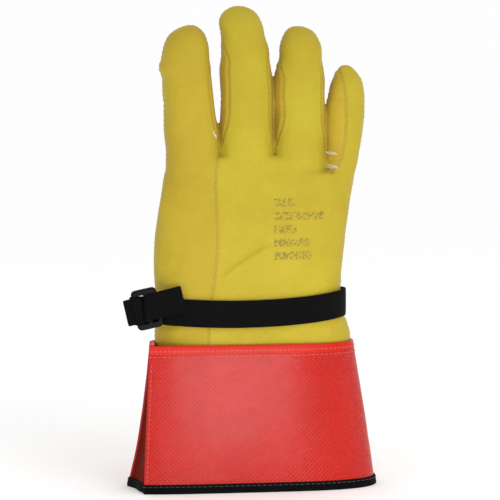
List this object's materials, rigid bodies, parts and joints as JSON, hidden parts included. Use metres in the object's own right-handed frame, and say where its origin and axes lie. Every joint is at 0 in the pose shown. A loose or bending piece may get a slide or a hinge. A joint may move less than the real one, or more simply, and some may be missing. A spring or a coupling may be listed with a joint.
{
  "type": "leather protector glove",
  "caption": "Right-hand leather work glove with a flared coated-cloth gauntlet cuff, taped hem and a buckled wrist strap, standing on its hem, fingers up.",
  "frame": {"origin": "bottom centre of the bounding box at rest, on the plane of the hem that the glove stands on", "axes": "+Z from the hem to the fingertips, -Y out of the back of the hand, +Y out of the palm, -X to the thumb and buckle side"},
  "size_m": [0.1647, 0.0756, 0.3045],
  "materials": {
    "leather": "smooth yellow grain leather",
    "coated_cloth": "red coated cloth with a diamond emboss",
    "gusset_cloth": "dark red coated cloth",
    "binding_tape": "black woven tape",
    "webbing": "black nylon webbing",
    "buckle_plastic": "black moulded plastic"
  },
  "bodies": {
    "hand": {"back_panel": "leather", "back_side_panel": "leather", "palm_panel": "leather", "cuff_back_panel": "coated_cloth", "cuff_palm_panel": "coated_cloth", "cuff_side_gusset": "gusset_cloth", "cuff_hem_binding": "binding_tape", "cuff_rim_hem": "coated_cloth", "index_knuckle_fold": "leather", "middle_knuckle_fold": "leather", "ring_knuckle_fold": "leather", "little_knuckle_fold": "leather", "thumb_base_gusset": "leather", "wrist_strap": "webbing", "buckle_anchor_loop": "webbing"},
    "index_finger": {"index_back": "leather", "index_palm": "leather", "index_fourchette": "leather"},
    "middle_finger": {"middle_back": "leather", "middle_palm": "leather", "middle_index_side_fourchette": "leather", "middle_ring_side_fourchette": "leather"},
    "ring_finger": {"ring_back": "leather", "ring_palm": "leather", "ring_middle_side_fourchette": "leather", "ring_little_side_fourchette": "leather"},
    "little_finger": {"little_back": "leather", "little_palm": "leather", "little_fourchette": "leather"},
    "thumb": {"thumb_palm_side": "leather", "thumb_outer_side": "leather"},
    "buckle": {"buckle_frame": "buckle_plastic"},
    "strap_end": {"strap_tail": "webbing"}
  },
  "joints": [
    {"name": "index_flex", "type": "hinge", "parent": "hand", "child": "index_finger", "pos_m": [-0.03605, -0.0117, 0.2218], "axis": [-1, 0, 0], "range_deg": [-10, 70], "deforming": ["index_knuckle_fold"]},
    {"name": "middle_flex", "type": "hinge", "parent": "hand", "child": "middle_finger", "pos_m": [-0.0025, -0.0117, 0.2218], "axis": [-1, 0, 0], "range_deg": [-10, 70], "deforming": ["middle_knuckle_fold"]},
    {"name": "ring_flex", "type": "hinge", "parent": "hand", "child": "ring_finger", "pos_m": [0.03115, -0.0117, 0.2218], "axis": [-1, 0, 0], "range_deg": [-10, 70], "deforming": ["ring_knuckle_fold"]},
    {"name": "little_flex", "type": "hinge", "parent": "hand", "child": "little_finger", "pos_m": [0.0583, -0.0117, 0.2108], "axis": [-1, 0, 0], "range_deg": [-10, 70], "deforming": ["little_knuckle_fold"]},
    {"name": "thumb_swing", "type": "hinge", "parent": "hand", "child": "thumb", "pos_m": [-0.0346, 0.0243, 0.1385], "axis": [0, -1, 0], "range_deg": [0, 50], "deforming": ["thumb_base_gusset"]},
    {"name": "buckle_tilt", "type": "hinge", "parent": "hand", "child": "buckle", "pos_m": [-0.0736, -0.0297, 0.115], "axis": [0.2079, 0, -0.9781], "range_deg": [0, 35]},
    {"name": "tail_lift", "type": "hinge", "parent": "buckle", "child": "strap_end", "pos_m": [-0.0566, -0.0324, 0.1198], "axis": [0.225, 0, -0.9744], "range_deg": [0, 80]}
  ]
}
